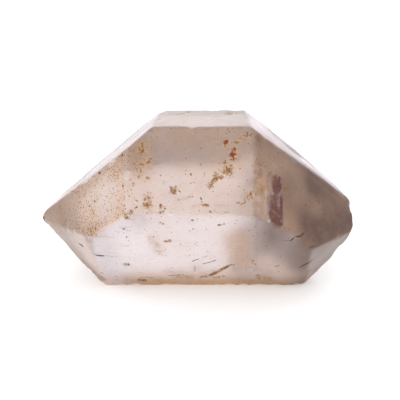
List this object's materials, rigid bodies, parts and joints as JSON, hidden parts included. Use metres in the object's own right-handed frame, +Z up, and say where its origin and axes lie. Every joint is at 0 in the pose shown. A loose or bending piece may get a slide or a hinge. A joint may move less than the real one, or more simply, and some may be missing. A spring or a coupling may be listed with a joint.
{
  "type": "double-terminated citrine crystal",
  "caption": "Natural quartz crystal with a pyramid at both ends of a short hexagonal prism, pale smoky brown and see-through, for display lying on a prism face.",
  "frame": {"origin": "on the surface that the crystal rests on, under the middle of its bounding box", "axes": "+X along the c axis, from the worn pointed tip to the ridged one; +Z up from the rest face; the viewer stands at -Y"},
  "size_m": [0.0454, 0.0272, 0.024],
  "materials": {
    "citrine": "clear to slightly milky pale smoky brown, worn and finely etched, with rust-coloured stains"
  },
  "bodies": {
    "root": {"citrine_crystal": "citrine"}
  },
  "joints": []
}
